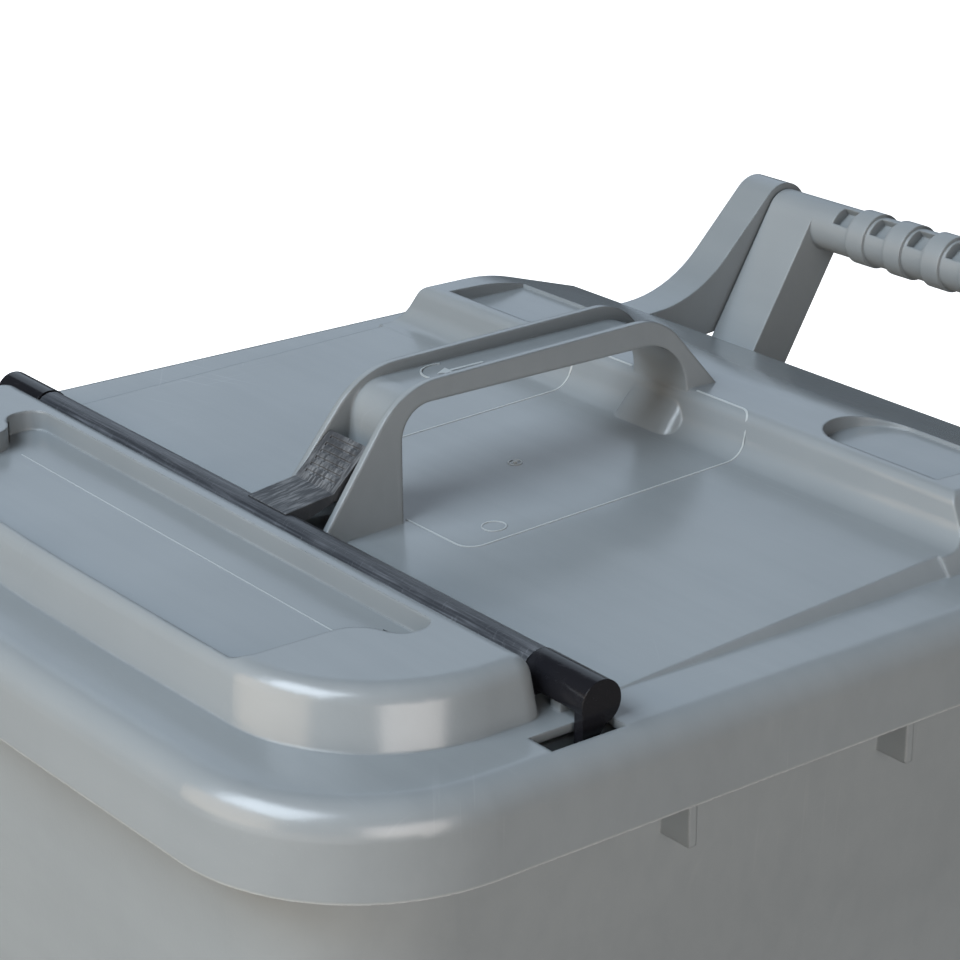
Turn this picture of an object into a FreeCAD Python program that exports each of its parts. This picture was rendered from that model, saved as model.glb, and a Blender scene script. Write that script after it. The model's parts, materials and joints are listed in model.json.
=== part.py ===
"""A two-wheeled refuse bin of about 120 litres with a transverse lid lock.

Frame: +Z up, +Y to the back (the side of the push handle), +X to the right as seen from the front.
The origin is on the floor, in the middle of the bin's box. Lengths are in millimetres.
"""

import FreeCAD, Part
import math
import os
import re

import Sketcher

X_AXIS = FreeCAD.Vector(1, 0, 0)
Z_AXIS = FreeCAD.Vector(0, 0, 1)
# A sketch lies flat, stands across the bin (x to the side, y up) or along it (x to the back, y up).
FLAT = FreeCAD.Rotation()
ACROSS = FreeCAD.Rotation(X_AXIS, 90)
ALONG = FreeCAD.Rotation(FreeCAD.Vector(1, 1, 1), 120)
SIDES = {"right": 1, "left": -1}

SIZES = {
    # whole bin
    "flange_top": 880, "wall": 4, "play": 0.4,
    # lid plate
    "lid_half": 240, "lid_front": -295.6, "lid_bow": 6, "lid_rear": 194, "skirt_drop": 37,
    "lid_corner": 82, "lid_rear_corner": 46, "lid_bow_round": 2000, "lid_edge_round": 13,
    "lid_wall": 3.5, "rear_lip_drop": 8, "rear_lip_start": 157,
    # raised panel at the front of the lid
    "panel_half": 206, "panel_front": -261, "panel_bow": 7, "panel_rear": -158.5,
    "panel_rise": 23, "panel_corner": 68, "panel_rear_corner": 10, "panel_draft": 6,
    "panel_round": 9,
    # sunken floor in that panel
    "recess_depth": 9.5, "recess_half": 135, "recess_front": -252, "recess_step": -191,
    "recess_wide_half": 155, "recess_rear": -171, "recess_corner": 8, "recess_bend": 16, "recess_end": 9,
    # sloping deck behind the lock bar
    "deck_half": 204, "deck_draft": 7, "deck_start": -135, "deck_rise": 8,
    # cross hump at the back of the lid
    "hump_foot": 68.5, "hump_top_front": 72, "hump_top": 28, "hump_foot_half": 205,
    "hump_top_half": 187, "hump_crown": 115, "hump_rear": 187, "hump_rear_rise": 3,
    "hump_round": 6, "hump_foot_lead": 14, "hump_foot_round": 11, "hump_crown_round": 120,
    "thumb_inner": 89, "thumb_outer": 172, "thumb_y": 103, "thumb_half": 24, "thumb_depth": 7,
    # carrying handle on the lid
    "grab_half": 17, "grab_foot_half": 21, "grab_rib": 3.5, "grab_web": 4,
    "grab_tip": -132, "grab_foot_rear": -91, "grab_arch": 62, "grab_under": 53,
    "grab_arch_front": -77, "grab_arch_rear": 53, "grab_rear_end": 99,
    "grab_rear_under": 73, "grab_slope_round": 40, "boss_half": 22, "boss_front": 58, "boss_lean": 17, "grab_under_round": 16,
    # arms that carry the lid on the hinge
    "hinge_y": 279, "hinge_z": 924, "arm_inner": 136, "arm_outer": 160, "arm_radius": 16,
    "pin_radius": 5, "pin_head_radius": 8, "pin_head": 3,
    # slots and bearing lugs for the lock
    "slot_inner": 215.5, "slot_outer": 229, "slot_front": -176, "slot_rear": -141,
    "bar_y": -147.4, "bar_z": 888.4, "bar_radius": 8.8, "bar_flat": 5.5, "bar_half": 186,
    "lug_inner": 200, "lug_outer": 206, "lug_radius": 6.6,
    # hooks, lever, springs
    "hook_inner": 217.5, "hook_outer": 222.5, "cheek_inner": 187, "cheek_outer": 191,
    "shell_radius": 9.3, "shell_wall": 2, "hook_leg_bottom": 856, "hook_leg": 8.5,
    "nose_reach": 7, "keeper_edge": 2.5, "nose_top": 868, "lock_pin_radius": 4,
    "lever_half": 14.5, "lever_knee_y": -123, "lever_knee_z": 901,
    "lever_tip_y": -104.5, "lever_tip_z": 918, "lever_thick": 4,
    "spring_coil": 6.2, "spring_wire": 1.1, "spring_pitch": 1.7, "spring_turns": 3.5,
    "spring_start": 208.8,
    # tub
    "rim_half": 216, "rim_front": -273, "rim_rear": 179, "rim_corner": 62,
    "base_half": 158, "base_front": -197, "base_rear": 147, "base_corner": 46,
    "rim_top": 874, "rim_out": 14, "rim_thick": 5, "rim_lip": 22, "rim_lip_wall": 3.5,
    "base_hollow": 8, "base_margin": 34, 
    "gusset_out": 13, "gusset_thick": 4, "gusset_bottom": 818, "gusset_first": -106.5,
    "gusset_pitch": 117,
    # axle notch and lugs at the back of the tub's foot
    "notch_front": 107, "notch_top": 150, "notch_exit": 222,
    "axle_y": 171, "axle_z": 100, "axle_radius": 10, "axle_half": 231,
    "lug_nose": 19, "lug_thick": 10, "lug_near": 62, "lug_far": 146,
    # push handle
    "column_inner": 101.5, "column_outer": 134.5, "column_radius": 13,
    "column_foot_y": 175, "column_foot_z": 750, "column_foot_front": 145,
    "grip_radius": 13, "grip_band_radius": 14.5, "grip_band": 12, "grip_pitch": 27,
    "grip_pocket": 11, "grip_pocket_depth": 7,
    # wheels
    "wheel_radius": 100, "tyre_half": 23, "tyre_inner": 78, "tyre_shoulder": 8,
    "wheel_x": 201, "hub_bore": 10.4, "hub_boss": 19, "hub_boss_half": 21, "hub_web": 6,
    "hub_rim": 6, "hub_rim_half": 19, "hub_window": 13, "hub_window_at": 45,
    "spacer_radius": 14, "nut_radius": 15, "nut_thick": 2, "cap_radius": 24, "cap_rise": 9,
}

doc = FreeCAD.newDocument("wheelie_bin")
sheet = doc.addObject("Spreadsheet::Sheet", "Sizes")
for row, (alias, number) in enumerate(SIZES.items(), 1):
    sheet.set(f"A{row}", alias.replace("_", " "))
    sheet.set(f"B{row}", str(number))
    sheet.setAlias(f"B{row}", alias)
doc.recompute()


def linked(rule):
    """Write a rule on the sheet's names as an expression that any object can hold."""
    return re.sub(r"[a-z_]*[a-z][a-z_]*", lambda word: "Sizes." + word[0] if word[0] in SIZES else word[0],
                  str(rule))


def value(rule):
    """The number that a rule on the sheet's names gives now."""
    return float(sheet.evalExpression(linked(rule)))


def bind(item, **rules):
    """Bind an object's properties to rules on the sheet."""
    for prop, rule in rules.items():
        item.setExpression(prop, linked(rule))
    return item


def place(item, x=0, y=0, z=0, turn=FLAT):
    """Turn an object and bind its place to rules on the sheet."""
    item.Placement = FreeCAD.Placement(FreeCAD.Vector(value(x), value(y), value(z)), turn)
    for axis, rule in zip("xyz", (x, y, z)):
        item.setExpression(f"Placement.Base.{axis}", linked(rule))
    return item


def rounded_corner(before, corner, after, radius):
    """Where a rounded corner's arc starts, where it stops, and its centre."""
    back = (before - corner).normalize()
    ahead = (after - corner).normalize()
    half_turn = back.getAngle(ahead) / 2
    run = radius / math.tan(half_turn)
    centre = corner + (back + ahead).normalize() * (radius / math.sin(half_turn))
    return corner + back * run, corner + ahead * run, centre


def add_arc(sketch, start, stop, centre):
    """Add the shorter arc between two points, and say which of its ends lie at start and stop."""
    left_turn = (start - centre).cross(stop - centre).z > 0
    first, last = (start, stop) if left_turn else (stop, start)
    angles = [math.atan2(point.y - centre.y, point.x - centre.x) for point in (first, last)]
    if angles[1] < angles[0]:
        angles[1] += 2 * math.pi
    circle = Part.Circle(centre, Z_AXIS, (start - centre).Length)
    arc = sketch.addGeometry(Part.ArcOfCircle(circle, *angles), False)
    return arc, (1, 2) if left_turn else (2, 1)


def outline(sketch, corners):
    """Close an outline through corners (x rule, y rule, corner radius rule or None).

    A sharp corner is bound to its rules. A round one is an arc of a bound radius, whose ends lie
    where the corner's rules put them.
    """
    points = [FreeCAD.Vector(value(x), value(y), 0) for x, y, _ in corners]
    count = len(points)
    ends = []
    for n, (_, _, radius) in enumerate(corners):
        if radius is None:
            ends.append((points[n], points[n], None))
        else:
            ends.append(rounded_corner(points[n - 1], points[n], points[(n + 1) % count], value(radius)))
    lines = [sketch.addGeometry(Part.LineSegment(ends[n][1], ends[(n + 1) % count][0]), False)
             for n in range(count)]
    for n, (start, stop, centre) in enumerate(ends):
        before, after = lines[n - 1], lines[n]
        if centre is None:
            sketch.addConstraint(Sketcher.Constraint("Coincident", before, 2, after, 1))
            pin_down(sketch, after, 1, corners[n])
            continue
        arc, (first, last) = add_arc(sketch, start, stop, centre)
        sketch.addConstraint(Sketcher.Constraint("Coincident", before, 2, arc, first))
        sketch.addConstraint(Sketcher.Constraint("Coincident", arc, last, after, 1))
        pin_down(sketch, before, 2, (start.x, start.y))
        pin_down(sketch, after, 1, (stop.x, stop.y))
        size = sketch.addConstraint(Sketcher.Constraint("Radius", arc, value(corners[n][2])))
        sketch.setExpression(f"Constraints[{size}]", linked(corners[n][2]))
    return sketch


def pin_down(sketch, geometry, point, place_of_it):
    """Hold one point of a sketch at two rules, or at two numbers."""
    for kind, rule in zip(("DistanceX", "DistanceY"), place_of_it):
        index = sketch.addConstraint(Sketcher.Constraint(kind, -1, 1, geometry, point, value(rule)))
        if isinstance(rule, str):
            sketch.setExpression(f"Constraints[{index}]", linked(rule))


def ring(sketch, radius, x=0, y=0):
    """A circle bound to the sheet, about a point of the sketch."""
    centre = FreeCAD.Vector(value(x), value(y), 0)
    circle = sketch.addGeometry(Part.Circle(centre, Z_AXIS, value(radius)), False)
    size = sketch.addConstraint(Sketcher.Constraint("Radius", circle, value(radius)))
    sketch.setExpression(f"Constraints[{size}]", linked(radius))
    pin_down(sketch, circle, 3, (x, y))
    return sketch


# ---- plain solids and booleans ----

def box(name, low, high):
    """A box between two corners, each given as three rules."""
    item = place(doc.addObject("Part::Box", name), *low)
    spans = [f"({top}) - ({bottom})" for top, bottom in zip(high, low)]
    return bind(item, Length=spans[0], Width=spans[1], Height=spans[2])


def rod(name, radius, start, stop, y, z):
    """A cylinder along X between two rules."""
    turn = FreeCAD.Rotation(FreeCAD.Vector(0, 1, 0), 90)
    item = place(doc.addObject("Part::Cylinder", name), start, y, z, turn)
    return bind(item, Radius=radius, Height=f"({stop}) - ({start})")


def prism(name, turn, corners, start, stop):
    """An outline pushed along its own normal, from one rule to another."""
    sketch = outline(doc.addObject("Sketcher::SketchObject", name + "_outline"), corners)
    sketch.Placement = FreeCAD.Placement(FreeCAD.Vector(), turn)
    item = doc.addObject("Part::Extrusion", name)
    item.Base = sketch
    item.DirMode = "Custom"
    item.Dir = turn.multVec(Z_AXIS)
    item.Solid = True
    return bind(item, LengthFwd=stop, LengthRev=f"-({start})")


def skin(name, lower, lower_z, upper, upper_z):
    """A solid between two flat outlines at two heights."""
    item = doc.addObject("Part::Loft", name)
    sections = []
    for place_name, corners, height in (("lower", lower, lower_z), ("upper", upper, upper_z)):
        sketch = outline(doc.addObject("Sketcher::SketchObject", f"{name}_{place_name}"), corners)
        sections.append(place(sketch, 0, 0, height))
    item.Sections = sections
    item.Solid = True
    item.Ruled = True
    return item


def join(name, *parts):
    """One solid of several."""
    item = doc.addObject("Part::MultiFuse", name)
    item.Shapes = list(parts)
    return item


def group(name, parts):
    """Several solids that don't touch, as one tool."""
    item = doc.addObject("Part::Compound", name)
    item.Links = list(parts)
    return item


def overlap(name, first, second):
    """What two solids share."""
    item = doc.addObject("Part::Common", name)
    item.Base = first
    item.Tool = second
    return item


def cut(name, base, tool):
    """A solid less another."""
    item = doc.addObject("Part::Cut", name)
    item.Base = base
    item.Tool = tool
    return item


def soften(name, base, radius, wanted):
    """Round the edges of a solid that a test picks."""
    doc.recompute()
    item = doc.addObject("Part::Fillet", name)
    item.Base = base
    size = value(radius)
    item.Edges = [(n, size, size) for n, edge in enumerate(base.Shape.Edges, 1) if wanted(edge)]
    return item


def at_height(rule):
    """An edge test: the whole edge lies at one height."""
    height = value(rule)
    return lambda edge: max(abs(edge.BoundBox.ZMin - height), abs(edge.BoundBox.ZMax - height)) < 0.01


# ---- bodies made of sketched features ----

def new_body(label):
    """A body of sketched features, with its own name."""
    body = doc.addObject("PartDesign::Body", label)
    body.Label = label
    return body


def sketch_on(body, name, role):
    """A sketch on one of the body's own origin planes."""
    sketch = body.newObject("Sketcher::SketchObject", name)
    plane = next(item for item in body.Origin.OriginFeatures if item.Role == role)
    sketch.AttachmentSupport = [(plane, "")]
    sketch.MapMode = "FlatFace"
    return sketch


def spun(body, name, kind, profile_corners):
    """Spin an outline, drawn as (distance along the axle, radius), about the body's own X axis."""
    sketch = outline(sketch_on(body, name + "_outline", "XY_Plane"), profile_corners)
    item = body.newObject(kind, name)
    item.Profile = sketch
    item.ReferenceAxis = (sketch, ["H_Axis"])
    item.Angle = 360
    return item


# ---- the lid, one moulding ----

def lid_corners(inset):
    """The lid's plan, a little bowed at the front, drawn in by an inset."""
    front = f"lid_front + lid_bow + {inset}"
    side = f"lid_half - {inset}"
    return [
        (f"-({side})", front, f"lid_corner - {inset}"),
        (0, f"lid_front + {inset}", "lid_bow_round"),
        (side, front, f"lid_corner - {inset}"),
        (side, f"lid_rear - {inset}", f"lid_rear_corner - {inset}"),
        (f"-({side})", f"lid_rear - {inset}", f"lid_rear_corner - {inset}"),
    ]


def panel_corners(inset, rear_inset):
    """The plan of the raised front panel, drawn in by an inset."""
    front = f"panel_front + panel_bow + {inset}"
    side = f"panel_half - ({inset})"
    rear = f"panel_rear - ({rear_inset})"
    return [
        (f"-({side})", front, "panel_corner"),
        (0, f"panel_front + {inset}", "lid_bow_round"),
        (side, front, "panel_corner"),
        (side, rear, "panel_rear_corner"),
        (f"-({side})", rear, "panel_rear_corner"),
    ]


def recess_corners(outset):
    """The T-shaped plan of the sunken floor, grown by an outset."""
    narrow = f"recess_half + {outset}"
    wide = f"recess_wide_half + {outset}"
    front = f"recess_front - {outset}"
    step = f"recess_step - {outset}"
    rear = f"recess_rear + {outset}"
    return [
        (f"-({narrow})", f"{front} + panel_bow / 2", "recess_corner"),
        (0, front, "lid_bow_round"),
        (narrow, f"{front} + panel_bow / 2", "recess_corner"),
        (narrow, step, "recess_bend"),
        (wide, step, "recess_end"),
        (wide, rear, "recess_end"),
        (f"-({wide})", rear, "recess_end"),
        (f"-({wide})", step, "recess_end"),
        (f"-({narrow})", step, "recess_bend"),
    ]


def deck_side(drop):
    """The deck seen from the side: it climbs from the lock bar to the hump."""
    top = f"flange_top - {drop}"
    below = f"flange_top - lid_wall * 1.5 - {drop}"
    return [
        ("deck_start", below, None),
        ("hump_crown", below, None),
        ("hump_crown", f"{top} + deck_rise", None),
        ("hump_foot", f"{top} + deck_rise", None),
        ("deck_start", top, None),
    ]


def deck_front():
    """The deck seen from the front: its sides lean in as they rise."""
    low = "flange_top - lid_wall * 2"
    high = "flange_top + deck_rise"
    return [
        ("-deck_half", low, None),
        ("deck_half", low, None),
        ("deck_half", "flange_top", None),
        ("deck_half - deck_draft", high, None),
        ("-(deck_half - deck_draft)", high, None),
        ("-deck_half", "flange_top", None),
    ]


def hump_solid(name, inset):
    """The cross hump: its side shape met by its front shape, drawn in by an inset."""
    low = f"flange_top - lid_wall * 1.5 - {inset}"
    high = f"flange_top + hump_top - {inset}"
    side = prism(name + "_side", ALONG, [
        (f"hump_foot - hump_foot_lead + {inset}", low, None),
        (f"hump_foot - hump_foot_lead + {inset}", f"flange_top + deck_rise - 0.5 - {inset}", None),
        (f"hump_foot + {inset}", f"flange_top + deck_rise - {inset}", "hump_foot_round"),
        (f"hump_top_front + {inset}", high, "hump_round"),
        ("hump_crown", f"{high} - 1", "hump_crown_round"),
        (f"hump_rear - {inset}", f"flange_top + hump_rear_rise - {inset}", None),
        (f"hump_rear - {inset}", low, None),
    ], f"-(hump_foot_half - {inset})", f"hump_foot_half - {inset}")
    face = prism(name + "_face", ACROSS, [
        (f"-(hump_foot_half - {inset})", low, None),
        (f"hump_foot_half - {inset}", low, None),
        (f"hump_foot_half - {inset}", "flange_top", None),
        (f"hump_top_half - {inset}", high, "hump_round"),
        (f"-(hump_top_half - {inset})", high, "hump_round"),
        (f"-(hump_foot_half - {inset})", "flange_top", None),
    ], "-(hump_rear + 1)", "-(hump_foot - hump_foot_lead - 1)")
    return overlap(name, side, face)


def thumb_pocket(name, side, outset, low):
    """A shallow hollow with a round inner end, that runs out level on its outer side."""
    inner = f"{side} * (thumb_inner - {outset})"
    outer = f"{side} * (thumb_outer + {outset})"
    corners = [
        (inner, f"thumb_y - thumb_half - {outset}", f"thumb_half + {outset} - 0.5"),
        (inner, f"thumb_y + thumb_half + {outset}", f"thumb_half + {outset} - 0.5"),
        (outer, f"thumb_y + thumb_half + {outset}", None),
        (outer, f"thumb_y - thumb_half - {outset}", None),
    ]
    return prism(name, FLAT, corners, low, "flange_top + hump_top + 10")


def grab_handle():
    """The carrying handle: two ribs on a web, open upwards, on a foot at each end."""
    side = [
        ("grab_tip", "flange_top - 1", None),
        ("grab_tip", "flange_top + 5", None),
        ("grab_arch_front - 11", "flange_top + grab_arch", "grab_slope_round"),
        ("grab_arch_rear + 6", "flange_top + grab_arch + 3", "grab_slope_round * 0.75"),
        ("grab_rear_end", "flange_top + 18", None),
        ("grab_rear_end", "flange_top + 3", None),
        ("grab_rear_under", "flange_top + 3", None),
        ("grab_rear_under", "flange_top + grab_under", "grab_under - hump_top - 0.5"),
        ("grab_foot_rear + 2", "flange_top + grab_under", "grab_under_round"),
        ("grab_foot_rear", "flange_top - 1", None),
    ]
    trough = [
        ("grab_tip - 10", "flange_top + 2", None),
        ("grab_foot_rear - grab_web", "flange_top + 2", None),
        ("grab_foot_rear + 2 - grab_web", "flange_top + grab_under + grab_web", "grab_under_round"),
        ("grab_rear_under + grab_web", "flange_top + grab_under + grab_web + 1",
         "grab_under - hump_top + grab_web - 0.5"),
        ("grab_rear_under + grab_web", "flange_top + hump_top - 3", None),
        ("grab_rear_end + 20", "flange_top + hump_top - 3", None),
        ("grab_rear_end + 20", "flange_top + grab_arch + 20", None),
        ("grab_tip - 10", "flange_top + grab_arch + 20", None),
    ]
    outer = overlap("grab_outer", prism("grab_side", ALONG, side, "-grab_foot_half", "grab_foot_half"),
                    prism("grab_face", ACROSS, grab_front("0"), "-(grab_rear_end + 1)", "-(grab_tip - 1)"))
    inner = overlap("grab_inner", prism("grab_trough", ALONG, trough, "-grab_foot_half", "grab_foot_half"),
                    prism("grab_gap", ACROSS, grab_front("grab_rib"), "-(grab_rear_end + 21)",
                          "-(grab_tip - 11)"))
    return outer, inner


def grab_front(inset):
    """The handle seen from the front: a little narrower at the arch than at the feet."""
    low, high = "flange_top - 2", "flange_top + grab_arch + 21"
    top = f"grab_half - (grab_foot_half - grab_half) * 21 / grab_arch - {inset}"
    foot = f"grab_foot_half - {inset}"
    return [(f"-({foot})", low, None), (foot, low, None), (top, high, None), (f"-({top})", high, None)]


def hinge_arm(side):
    """An arm that sweeps up from the lid's back edge to an eye on the hinge axis."""
    reach = "arm_radius * sin(45)"
    name = {1: "right", -1: "left"}[side]
    blade = prism(f"arm_blade_{name}", ALONG, [
        ("hump_crown + 30", "flange_top - lid_wall + 0.5", None),
        ("hump_crown + 30", "flange_top + hump_rear_rise", None),
        (f"hinge_y - 2 * {reach} - hinge_z + flange_top + 5", "flange_top + 5", "arm_radius * 4.5"),
        (f"hinge_y - {reach}", f"hinge_z + {reach}", None),
        ("hinge_y", "hinge_z", None),
        (f"hinge_y + {reach}", f"hinge_z - {reach}", None),
        (f"hinge_y + 2 * {reach} - hinge_z + flange_top - 24", "flange_top - 24", "arm_radius * 3"),
        ("lid_rear + 1", "flange_top - rear_lip_drop", None),
        ("lid_rear - 1", "flange_top - lid_wall + 0.5", None),
    ], *mirror_span(side, "arm_inner", "arm_outer"))
    eye = rod(f"arm_eye_{name}", "arm_radius", *mirror_span(side, "arm_inner", "arm_outer"),
              "hinge_y", "hinge_z")
    return [blade, eye]


def mirror_span(side, near, far):
    """The rules for a span in X on one side of the bin, smaller first."""
    return (near, far) if side > 0 else (f"-({far})", f"-({near})")


def make_lid():
    """Plate, skirt, panel, deck, hump, carrying handle, arms and lock bearings, hollow below."""
    skirt_low = "flange_top - skirt_drop"
    plate = soften("plate_round", prism("plate", FLAT, lid_corners(0), skirt_low, "flange_top"),
                   "lid_edge_round", at_height("flange_top"))
    panel = soften("panel_round", skin("panel", panel_corners(0, 0), "flange_top - 2",
                                       panel_corners("panel_draft", 1), "flange_top + panel_rise"),
                   "panel_round", at_height("flange_top + panel_rise"))
    deck = overlap("deck", prism("deck_side", ALONG, deck_side("0"), "-deck_half", "deck_half"),
                   prism("deck_face", ACROSS, deck_front(), "-(hump_crown + 1)", "-(deck_start - 1)"))
    hump = hump_solid("hump", "0")
    grab_outer, grab_inner = grab_handle()
    lugs = []
    arms = []
    for name, side in SIDES.items():
        arms += hinge_arm(side)
        span = mirror_span(side, "lug_inner", "lug_outer")
        lugs.append(box(f"lug_foot_{name}", (span[0], "bar_y - 6", "flange_top - 1"),
                        (span[1], "bar_y + 6", "bar_z")))
        lugs.append(rod(f"lug_head_{name}", "lug_radius", *span, "bar_y", "bar_z"))
    below = f"{skirt_low} - 1"
    roof = "flange_top - lid_wall"
    hollow = join(
        "lid_hollow",
        soften("plate_hollow_round", prism("plate_hollow", FLAT, lid_corners("wall"), below, roof),
               "lid_edge_round - wall", at_height(roof)),
        cut("panel_hollow",
            skin("panel_inside", panel_corners("lid_wall", "lid_wall"), f"{roof} - 5",
                 panel_corners("panel_draft + lid_wall", "lid_wall + 1"),
                 "flange_top + panel_rise - lid_wall"),
            prism("recess_floor", FLAT, recess_corners("lid_wall"),
                  "flange_top + panel_rise - recess_depth - lid_wall", "flange_top + panel_rise")),
        prism("deck_hollow", ALONG, deck_side("lid_wall"), "-(deck_half - deck_draft - lid_wall)",
              "deck_half - deck_draft - lid_wall"),
        hump_solid("hump_hollow", "lid_wall"),
    )
    shell = cut("lid_shell", join("lid_outer", plate, panel, deck, hump), hollow)
    linings = [overlap(f"thumb_lining_{name}",
                       thumb_pocket(f"thumb_outside_{name}", side, "lid_wall", "flange_top + 14"),
                       hump_solid(f"thumb_hump_{name}", "0.2")) for name, side in SIDES.items()]
    boss = skin("grab_boss",
                tub_corners("boss_half", "boss_front", "hump_crown - 20", "boss_half * 0.4"),
                "flange_top + deck_rise - 2",
                tub_corners("boss_half - 3", "boss_front + boss_lean", "hump_crown - 20", "boss_half * 0.3"),
                "flange_top + hump_top - 1.5")
    grab = cut("grab", grab_outer, grab_inner)
    removed = [
        prism("recess", FLAT, recess_corners("0"), "flange_top + panel_rise - recess_depth",
              "flange_top + panel_rise + 1"),
        box("rear_skirt_gap", ("-lid_half - 1", "rear_lip_start", f"{skirt_low} - 1"),
            ("lid_half + 1", "lid_rear + 1", "flange_top - rear_lip_drop")),
    ]
    for name, side in SIDES.items():
        span = mirror_span(side, "slot_inner", "slot_outer")
        removed.append(box(f"slot_{name}", (span[0], "slot_front", f"{roof} - 4"),
                           (span[1], "slot_rear", "flange_top + 4")))
        removed.append(rod(f"lug_bore_{name}", "lock_pin_radius + play",
                           *mirror_span(side, "lug_inner - 1", "lug_outer + 1"), "bar_y", "bar_z"))
        removed.append(rod(f"arm_bore_{name}", "pin_radius + play",
                           *mirror_span(side, "arm_inner - 1", "arm_outer + 1"), "hinge_y", "hinge_z"))
        removed.append(thumb_pocket(f"thumb_{name}", side, "0", "flange_top + hump_top - thumb_depth"))
    whole = join("lid_whole", shell, boss, grab, *linings, *lugs, *arms)
    lid = cut("lid_part", whole, group("lid_removed", removed))
    lid.Label = "lid"
    return lid


# ---- the tub, one moulding with its rim, axle lugs and push handle ----

def tub_corners(half, front, rear, corner):
    """A rectangle with round corners, given by rules."""
    return [(f"-({half})", front, corner), (half, front, corner), (half, rear, corner),
            (f"-({half})", rear, corner)]


def tub_skin(name, inset, low):
    """The tapered tub, drawn in by an inset, from a height up to the rim."""
    base = tub_corners(f"base_half - {inset}", f"base_front + {inset}", f"base_rear - {inset}",
                       f"base_corner - {inset}")
    rim = tub_corners(f"rim_half - {inset}", f"rim_front + {inset}", f"rim_rear - {inset}",
                      f"rim_corner - {inset}")
    return skin(name, base, low, rim, "rim_top")


def rim_corners(inset):
    """The plan of the rim's outer edge, drawn in by an inset."""
    half = f"rim_half + rim_out - {inset}"
    front = f"rim_front - rim_out + {inset}"
    rear = f"rim_rear + rim_out * 0.4 - {inset}"
    corner = f"rim_corner + rim_out * 0.5 - {inset}"
    return [
        (f"-({half})", f"{front} + lid_bow", corner),
        (0, front, "lid_bow_round"),
        (half, f"{front} + lid_bow", corner),
        (half, rear, corner),
        (f"-({half})", rear, corner),
    ]


def axle_notch(name, inset):
    """The step across the back of the tub's foot that the axle lies in."""
    return prism(name, ALONG, [
        (f"notch_front - {inset}", -1, None),
        (f"notch_front - {inset}", f"notch_top + {inset}", "axle_radius * 2"),
        (f"rim_rear + rim_out", f"notch_exit + (rim_rear - base_rear) + {inset}", None),
        (f"rim_rear + rim_out", -1, None),
    ], "-rim_half", "rim_half")


def column(side):
    """A strut that leans back from the tub's rear wall to the hinge axis."""
    name = {1: "right", -1: "left"}[side]
    lean = "atan((hinge_y - column_foot_y) / (hinge_z - column_foot_z))"
    across = f"column_radius * cos({lean})"
    along = f"column_radius * sin({lean})"
    run = f"(hinge_z + {along} - rim_top + rim_lip + 8)"
    blade = prism(f"column_blade_{name}", ALONG, [
        ("hinge_y", "hinge_z", None),
        (f"hinge_y - {across}", f"hinge_z + {along}", None),
        (f"hinge_y - {across} - {run} * tan({lean})", "rim_top - rim_lip - 8", None),
        ("rim_rear + rim_out * 0.3", "rim_top - rim_thick - 10", None),
        ("rim_rear - 10", "rim_top - rim_thick - 10", None),
        ("column_foot_front", "column_foot_z - 35", None),
        ("column_foot_y - 3", "column_foot_z - 35", None),
        (f"column_foot_y + {across}", f"column_foot_z - {along}", "column_radius * 3"),
        (f"hinge_y + {across}", f"hinge_z - {along}", None),
    ], *mirror_span(side, "column_inner", "column_outer"))
    eye = rod(f"column_eye_{name}", "column_radius", *mirror_span(side, "column_inner", "column_outer"),
              "hinge_y", "hinge_z")
    return [blade, eye]


def grip_solids():
    """The push bar between the columns, its raised bands, and the pockets cored into it."""
    core = rod("grip_core", "grip_radius", "-column_inner - 1", "column_inner + 1", "hinge_y", "hinge_z")
    bands = []
    pockets = []
    count = int(2 * value("column_inner") // value("grip_pitch"))
    for n in range(count):
        middle = f"grip_pitch * ({n} - {(count - 1) / 2})"
        bands.append(rod(f"grip_band_{n}", "grip_band_radius", f"{middle} + grip_pitch / 2 - grip_band / 2",
                         f"{middle} + grip_pitch / 2 + grip_band / 2", "hinge_y", "hinge_z"))
        for row, (turn, shift) in enumerate(((35, "0"), (-40, "grip_pitch / 2"), (180, "0"))):
            pockets.append(grip_pocket(f"grip_pocket_{row}_{n}", f"{middle} + {shift}", turn))
    return [core, *bands[:-1]], pockets


def grip_pocket(name, middle, turn):
    """A square pocket in the grip, facing straight up and then turned about the grip's axis."""
    floor = value("grip_band_radius - grip_pocket_depth")
    half = value("grip_pocket / 2")
    spin = FreeCAD.Rotation(X_AXIS, turn)
    corner = spin.multVec(FreeCAD.Vector(0, -half, floor))
    item = place(doc.addObject("Part::Box", name), f"{middle} - grip_pocket / 2",
                 f"hinge_y + ({corner.y})", f"hinge_z + ({corner.z})", spin)
    return bind(item, Length="grip_pocket", Width="grip_pocket", Height="grip_pocket_depth + 1")


def axle_lug(name, start, stop):
    """A rib that reaches back from the notch and holds the axle in its nose."""
    plate = prism(name, ALONG, [
        ("notch_front - 2", "axle_z - lug_nose * 2", None),
        ("axle_y", "axle_z - lug_nose", None),
        ("axle_y", "axle_z + lug_nose", None),
        ("notch_front + 24", "notch_exit - 24", None),
        ("notch_front - 2", "notch_top + 12", None),
    ], start, stop)
    return [plate, rod(name + "_nose", "lug_nose", start, stop, "axle_y", "axle_z")]


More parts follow.
